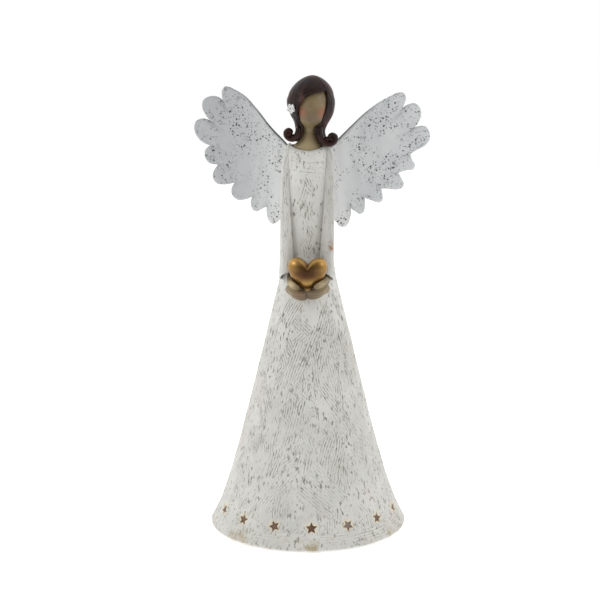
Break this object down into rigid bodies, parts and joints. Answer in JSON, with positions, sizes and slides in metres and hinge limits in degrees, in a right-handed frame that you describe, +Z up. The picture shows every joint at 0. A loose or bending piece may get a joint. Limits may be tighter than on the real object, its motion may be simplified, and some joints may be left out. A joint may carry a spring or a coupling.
{
  "type": "resin angel figurine",
  "caption": "Standing faceless angel with feathered wings, holding a heart in cupped hands, in a flared gown with star windows lit by a battery light in the base.",
  "frame": {"origin": "on the ground under the middle of the figure, level with the underside of its foot pads", "axes": "+Z up through the figure to its head; the figure faces -Y; +X is the viewer's right when facing it"},
  "size_m": [0.1572, 0.1274, 0.2998],
  "materials": {
    "gown_resin": "cast resin, combed texture, matt off-white paint with grey-brown wash",
    "wing_resin": "cast resin, matt cool white paint with dark pits",
    "skin_paint": "satin tan paint on resin",
    "hair_paint": "glossy dark brown paint on resin",
    "heart_gold": "satin antique gold paint on resin",
    "flower_silver": "silver-white paint",
    "star_amber": "translucent brown resin, glossy",
    "base_plastic": "moulded, fine grain",
    "pad_rubber": "soft foam rubber",
    "screw_steel": "zinc plated",
    "cell_case": "plain sleeve with bare ends",
    "contact_metal": "nickel plated spring steel",
    "board_laminate": "solder-mask green",
    "led_lens": "clear warm-white lamp",
    "dome_frost": "frosted milky",
    "switch_plastic": "moulded",
    "wire_skin": "thin flexible insulation"
  },
  "bodies": {
    "root": {"gown": "gown_resin", "sleeve_left": "gown_resin", "sleeve_right": "gown_resin", "hand_left": "skin_paint", "hand_right": "skin_paint", "heart": "heart_gold", "head": "skin_paint", "hair": "hair_paint", "hair_flower": "flower_silver", "wing_left": "wing_resin", "wing_right": "wing_resin", "star_windows": "star_amber", "base_plate": "base_plastic", "battery_tray": "base_plastic", "foot_pads": "pad_rubber", "housing_screws": "screw_steel", "batteries": "cell_case", "contact_plates": "contact_metal", "contact_springs": "contact_metal", "circuit_board": "board_laminate", "leds": "led_lens", "diffuser_dome": "dome_frost", "switch_body": "switch_plastic", "switch_wires": "wire_skin"},
    "battery_door": {"battery_door": "base_plastic"},
    "switch_knob": {"switch_knob": "switch_plastic"}
  },
  "joints": [
    {"name": "battery_door_hinge", "type": "hinge", "parent": "root", "child": "battery_door", "pos_m": [0, 0.02695, 0.003], "axis": [1, 0, 0], "range_deg": [0, 75]},
    {"name": "switch_slide", "type": "slide", "parent": "root", "child": "switch_knob", "axis": [1, 0, 0], "range_m": [0, 0.003]}
  ]
}
